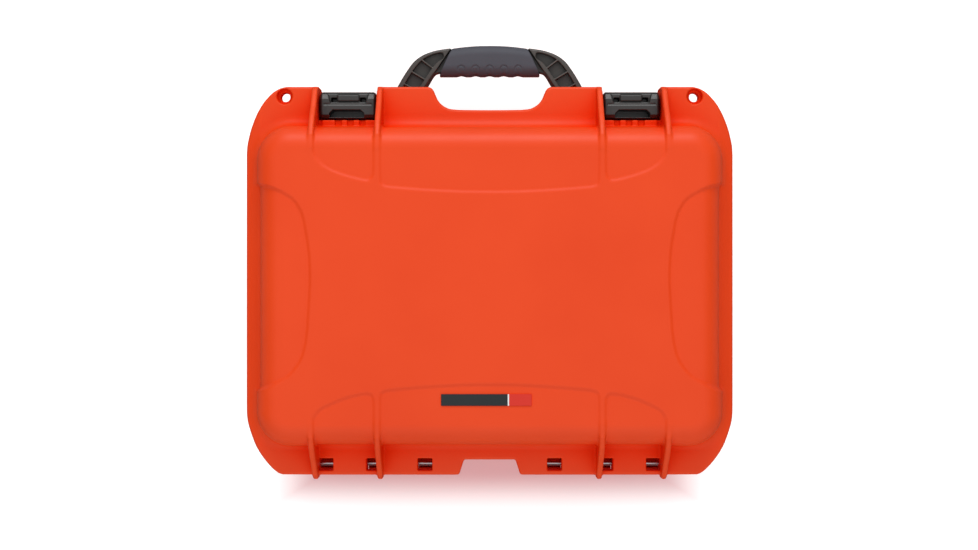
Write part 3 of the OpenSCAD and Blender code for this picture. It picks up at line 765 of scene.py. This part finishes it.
def plastic(name, base, tint, worn, rough=0.45, grain=0.35, bump=0.12, spec=0.5, metallic=0.0,
            stretch=(1, 1, 1), painted_shade_colour=None, reach=0.012, amount=0.8, open_at=0.85, dim_shine_in_shade=False):
    """Cloudy colour, fine grain, rubbed edges, and painted shade: crevices turned to a shade
    colour.

    grain and bump (mm) are the bump's strength and height. reach (m), amount and open_at shape
    the painted shade in the crevices; the last flag also paints shade on their shine.
    """
    material = bpy.data.materials.new(name)
    shader = Shader(material)
    surface = shader.tree.nodes["Principled BSDF"].inputs
    coords = shader.add("ShaderNodeTexCoord").outputs["Object"]
    mapped = shader.add("ShaderNodeMapping", {"Scale": stretch, "Vector": coords}).outputs[0]

    def noise(scale, detail, roughness=0.5):
        return shader.add("ShaderNodeTexNoise", {
            "Scale": scale, "Detail": detail, "Roughness": roughness,
            "Vector": mapped}).outputs["Fac"]

    cloud = shader.remap(noise(scale=9, detail=3), span=(0.35, 0.65))
    colour = shader.mix(cloud, srgb(base), srgb(tint))
    speckle = shader.remap(noise(scale=900, detail=2), span=(0.62, 0.8), to=(0, 0.10))
    colour = shader.mix(speckle, colour, srgb(worn))
    # rubbed edges, broken up by noise
    geometry = shader.add("ShaderNodeNewGeometry")
    edge = shader.remap(geometry.outputs["Pointiness"], span=(0.53, 0.60))
    broken = shader.remap(noise(scale=60, detail=4), span=(0.42, 0.62), to=(0, 0.45))
    colour = shader.mix(shader.math("MULTIPLY", edge, broken), colour, srgb(worn))
    # painted shade: ambient occlusion turns crevices, recesses and the feet of walls to the shade
    # colour
    if painted_shade_colour:
        occlusion = shader.add("ShaderNodeAmbientOcclusion", {"Distance": reach}, samples=8)
        painted_shade_share = shader.remap(occlusion.outputs["AO"], span=(0.2, open_at), to=(amount, 0))
        colour = shader.mix(painted_shade_share, colour, srgb(painted_shade_colour))
    shader.feed(surface["Base Color"], colour)
    patches = noise(scale=35, detail=5, roughness=0.6)
    patchy = shader.remap(patches, span=(0.3, 0.7), to=(rough - 0.025, rough + 0.03))
    shader.feed(surface["Roughness"], patchy)
    relief = shader.add("ShaderNodeBump", {
        "Strength": grain, "Distance": bump / 1000,
        "Height": noise(scale=1400, detail=2, roughness=0.55)})
    shader.feed(surface["Normal"], relief.outputs[0])
    surface["Specular IOR Level"].default_value = spec
    # painted shade on the shine: less specular where the crevices are shaded
    if dim_shine_in_shade:
        shine = shader.remap(painted_shade_share, span=(0, amount * 0.6), to=(spec, spec * 0.1))
        shader.feed(surface["Specular IOR Level"], shine)
    surface["Metallic"].default_value = metallic
    return material


# the orange, handle, grip and latch plastics carry a painted shade colour for their crevices and
# recesses
ORANGE = plastic("orange_shell", "#E94511", "#E5410C", "#EE6236", rough=0.43, grain=0.25,
                 spec=0.27, painted_shade_colour="#E92200", reach=0.040, amount=0.9, open_at=0.97, dim_shine_in_shade=True)
ARM = plastic("handle_plastic", "#433E3A", "#3C3834", "#6A6560", rough=0.42, grain=0.3,
              painted_shade_colour="#100E0C", reach=0.008, amount=0.85)
GRIP = plastic("grip_rubber", "#4A4A52", "#45454D", "#6E6E76", rough=0.62, grain=0.5, bump=0.2,
               spec=0.3, painted_shade_colour="#2A2024", reach=0.008, amount=0.6)
LATCH = plastic("latch_plastic", "#31302F", "#2B2A29", "#62605E", rough=0.38, grain=0.3,
                painted_shade_colour="#080505", reach=0.016, amount=0.97)
SLIDE = plastic("slide_plastic", "#2F2F2F", "#292929", "#6A6A6A", rough=0.4, grain=0.3)
BLACK = plastic("valve_plastic", "#262626", "#202020", "#5A5A5A", rough=0.45, grain=0.3)
SEAL = plastic("seal_rubber", "#2A2A2C", "#232325", "#4A4A4C", rough=0.7, grain=0.4, bump=0.2,
               spec=0.3)
FELT = plastic("vent_membrane", "#E8E8E4", "#DEDEDA", "#FFFFFF", rough=0.85, grain=0.6, bump=0.3,
               spec=0.2)
STEEL = plastic("pin_steel", "#C8CACC", "#B4B6B9", "#F2F2F2", rough=0.24, grain=0.2, bump=0.06,
                metallic=1.0, stretch=(0.05, 1, 1))
BADGE = plastic("badge_dark", "#24292B", "#202527", "#4C5456", rough=0.5, grain=0.15, spec=0.3)
RED = plastic("badge_red", "#D8301F", "#D02A1A", "#E85A48", rough=0.5, grain=0.15, spec=0.3)
WHITE = plastic("badge_line", "#EDEDEB", "#E4E4E2", "#FFFFFF", rough=0.4, grain=0.15)


# ---------------------------------------------------------------- the pieces
def place(ob, body, node, material, slot):
    ob.data.materials.clear()
    ob.data.materials.append(material)
    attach(ob, body)
    if node:
        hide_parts(node)


# name, field, sampled box (low, high), cell, kept share, body, CAD node, material, slot
SYMMETRIC = (
    ("lid_shell_moulding", lid_field, (0, -172, 111), (214, 173, 175), 1.0, 0.22,
     "lid", "lid_shell", ORANGE, "shell"),
    ("base_shell_moulding", base_field, (0, -172, -2), (214, 173, 126), 1.1, 0.22,
     "base", "base_shell", ORANGE, "shell"),
    ("handle_arms", handle_field, (0, -213, 90), (94, -139, 114), 0.6, 0.4,
     "handle", "handle_frame", ARM, "handle_plastic"),
    ("handle_soft_grip", grip_field, (0, -213, 88), (48, -179, 116), 0.6, 0.4,
     "handle", "handle_grip", GRIP, "grip_rubber"),
)
for name, field, low, high, cell, ratio, *placing in SYMMETRIC:
    place(carve(name, field, low, high, cell, ratio, mirror=True), *placing)

# CAD stem, body stem, field, sampled box (low, high), cell, kept share, material
SIDED = (
    ("latch_claw", "claw", claw_field, (96, -168, 74), (150, -140, 142), 0.5, 0.35, LATCH),
    ("latch_lever", "lever", lever_field, (96, -172, 67), (150, -154, 123), 0.5, 0.4, LATCH),
    ("lock_slide", "slide", slide_field, (110, -169, 79.5), (125, -160, 92.5), 0.3, 0.5, SLIDE),
)
for stem, body, field, low, high, cell, ratio, material in SIDED:
    right = carve(f"{stem}_right_moulding", field, low, high, cell, ratio)
    place(right, f"{body}_right", f"{stem}_right", material, "latch_plastic")
    left = twin(right, f"{stem}_left_moulding", field)
    place(left, f"{body}_left", f"{stem}_left", material, "latch_plastic")

# CAD pieces that are kept, and only take a material
KEPT = [("lid_gasket", SEAL)]
KEPT += [(f"{part}_pin_{side}", STEEL)
         for part in ("hinge", "handle", "claw", "lever") for side in ("left", "right")]
KEPT += [("valve_body", BLACK), ("valve_cap", BLACK), ("valve_membrane", FELT),
         ("valve_seal", SEAL), ("valve_nut", BLACK)]
for name, material in KEPT:
    ob = NODES[name]
    if ob.material_slots:
        for material_slot in ob.material_slots:
            material_slot.material = material
    else:
        ob.data.materials.append(material)

BADGE_Z = LID_TOP - 1.5
# name, x span, top above BADGE_Z, material, CAD node, slot
BADGE_PLATES = (
    ("badge_dark_plate", -15.1, 40.9, 1.08, BADGE, "badge_plate", "badge_dark"),
    ("badge_red_plate", -35.3, -16.3, 1.08, RED, "badge_accent", "badge_red"),
    ("badge_white_line", -16.4, -15.0, 0.95, WHITE, None, "badge_dark"),
)


def badge_field(x0, x1, top):
    def field(x, y, z):
        outline = round_rect(x - (x0 + x1) / 2, y, (x1 - x0) / 2, 93.0, 102.8, 0.5)
        return extrude(outline, z, BADGE_Z + 0.03, BADGE_Z + top, 0.3)
    return field


for name, x0, x1, top, material, node, slot in BADGE_PLATES:
    low, high = (x0 - 1, 91.5, BADGE_Z - 1), (x1 + 1, 104.5, BADGE_Z + 2.2)
    plate = carve(name, badge_field(x0, x1, top), low, high, cell=0.25, ratio=0.25)
    place(plate, "lid", node, material, slot)

# ---------------------------------------------------------------- stage, light, camera (m)
scene = bpy.context.scene
FLOOR_WHITE = (0.84, 0.84, 0.84, 1)
# painted shadow behind the case: a pink floor colour (painted orange bounce light) and less glow
# there
FLOOR_PAINTED_SHADOW = (0.78, 0.46, 0.48, 1)       # just behind the case
FLOOR_REFLECTED = (0.05, 0.05, 0.05, 1)
GLOW_IN_PAINTED_SHADOW, GLOW_MORE = 0.10, 0.42        # emission behind the case, and what is added elsewhere
# world strengths: everywhere, overhead, from the front, from the back
WORLD_BASE, WORLD_TOP, WORLD_FRONT, WORLD_BACK = 0.08, 0.84, 0.32, 0.80


def floor_material():
    """Overexposed to the camera, with a painted shadow just behind the case, and dim in
    reflections.
    """
    material = bpy.data.materials.new("floor_white")
    shader = Shader(material)
    surface = shader.tree.nodes["Principled BSDF"].inputs
    surface["Base Color"].default_value = FLOOR_WHITE
    surface["Roughness"].default_value = 0.7
    surface["Specular IOR Level"].default_value = 0.1
    rays = shader.add("ShaderNodeLightPath").outputs
    position = shader.add("ShaderNodeNewGeometry").outputs["Position"]
    axes = shader.add("ShaderNodeSeparateXYZ", {0: position}).outputs
    # painted shadow: this mask is 0 in a strip along the back of the case, where the floor is
    # darker and pink, and 1 elsewhere
    sideways = shader.smooth(shader.math("ABSOLUTE", axes["X"], 0), span=(0.155, 0.225))
    outside_painted_shadow = shader.math("MAXIMUM", sideways, shader.smooth(axes["Y"], span=(0.182, 0.225)))
    outside_painted_shadow = shader.math("MAXIMUM", outside_painted_shadow, shader.smooth(axes["Y"], span=(0.138, 0.10)))
    glow = shader.math("ADD", shader.math("MULTIPLY", outside_painted_shadow, GLOW_MORE), GLOW_IN_PAINTED_SHADOW)
    glow = shader.math("MULTIPLY", glow, rays["Is Camera Ray"])
    shader.feed(surface["Emission Strength"], glow)
    surface["Emission Color"].default_value = (1, 1, 1, 1)
    seen = shader.add("ShaderNodeMix", {0: rays["Is Glossy Ray"], 7: FLOOR_REFLECTED},
                      data_type="RGBA")
    shader.feed(seen.inputs[6], shader.mix(outside_painted_shadow, FLOOR_PAINTED_SHADOW, FLOOR_WHITE))
    shader.feed(surface["Base Color"], seen.outputs[2])
    return material


def build_world():
    """A studio with dark sides: bright overhead, with light from the front and the back."""
    world = bpy.data.worlds.new("studio")
    scene.world = world
    shader = Shader(world)
    background = shader.tree.nodes["Background"].inputs
    direction = shader.add("ShaderNodeTexCoord").outputs["Generated"]
    axes = shader.add("ShaderNodeSeparateXYZ", {0: direction}).outputs
    top = shader.smooth(axes["Z"], span=(0.30, 0.95), to=(0, WORLD_TOP))
    front = shader.smooth(axes["Y"], span=(-0.15, -0.95), to=(0, WORLD_FRONT))
    rear = shader.smooth(axes["Y"], span=(0.05, 0.80), to=(0, WORLD_BACK))
    # the rear light is soft: it hardly shows in reflections
    rays = shader.add("ShaderNodeLightPath").outputs
    hidden = shader.math("MULTIPLY", rays["Is Glossy Ray"], 0.9)
    rear = shader.math("MULTIPLY", rear, shader.math("SUBTRACT", 1.0, hidden))
    light = shader.math("ADD", top, front)
    light = shader.math("ADD", light, shader.math("ADD", rear, WORLD_BASE))
    # the backdrop itself is white to the camera
    shader.feed(background[1], shader.math("MAXIMUM", light, rays["Is Camera Ray"]))
    background[0].default_value = (1, 1, 1, 1)


def build_key_light():
    """A wide panel above the front, aimed at the case."""
    light = bpy.data.lights.new("key", "AREA")
    light.shape = "RECTANGLE"
    light.size, light.size_y = 1.6, 0.8
    light.energy = 24
    place_at, target = Vector((0.0, -1.9, 1.15)), Vector((0, 0, 0.1))
    ob = add_object("key", light)
    ob.location = place_at
    ob.rotation_euler = (target - place_at).to_track_quat("-Z", "Y").to_euler()


def build_camera():
    """Straight above the case, looking down, with the front at the top of the picture."""
    camera = bpy.data.cameras.new("photo_camera")
    ob = add_object("photo_camera", camera)
    ob.location = (0.0006, -0.0072, 0.1295 + 1.18)
    ob.rotation_euler = (0, 0, math.pi)
    camera.lens = 49.8
    camera.sensor_width = 36
    camera.clip_start, camera.clip_end = 0.01, 50
    scene.camera = ob


bpy.ops.mesh.primitive_plane_add(size=60, location=(0, 0, -0.0005))
floor = bpy.context.object
floor.name = "studio_floor"
floor.data.materials.append(floor_material())
build_world()
build_key_light()
build_camera()
scene.view_settings.view_transform = "Standard"
